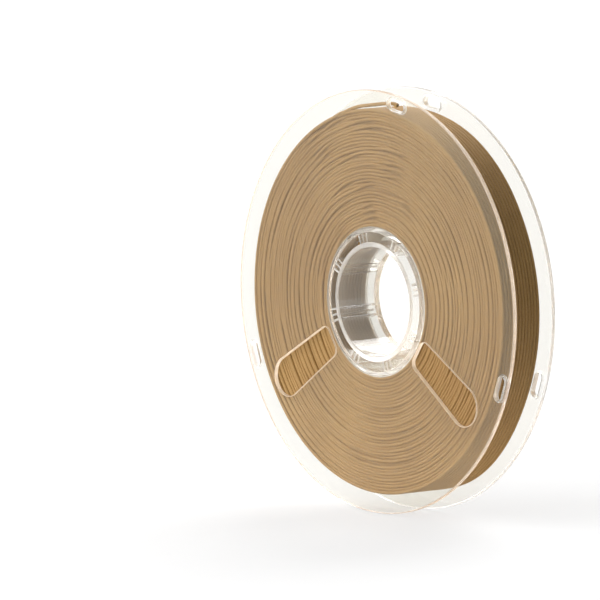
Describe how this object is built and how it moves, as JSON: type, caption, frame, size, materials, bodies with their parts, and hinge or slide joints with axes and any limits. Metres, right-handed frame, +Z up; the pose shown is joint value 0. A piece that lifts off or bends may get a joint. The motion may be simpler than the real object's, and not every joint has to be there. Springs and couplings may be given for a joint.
{
  "type": "filament spool",
  "caption": "Slim clear plastic spool of wound tan printing filament, with windowed flanges, rim slots and a wide hub bore.",
  "frame": {"origin": "centre of the hub bore, half way between the flanges' outer faces", "axes": "+Y along the bore, from the front flange to the rear flange; +Z up as the spool stands on its rims"},
  "size_m": [0.2, 0.0254, 0.2],
  "materials": {
    "clear_plastic": "clear, polished",
    "filament": "matte, wood filled"
  },
  "bodies": {
    "front_half": {"front_half": "clear_plastic", "filament_winding": "filament", "filament_inner_end": "filament", "filament_outer_end": "filament"},
    "rear_half": {"rear_half": "clear_plastic"}
  },
  "joints": [
    {"name": "rear_half_pull", "type": "slide", "parent": "front_half", "child": "rear_half", "axis": [0, 1, 0], "range_m": [0, 0.03]}
  ]
}
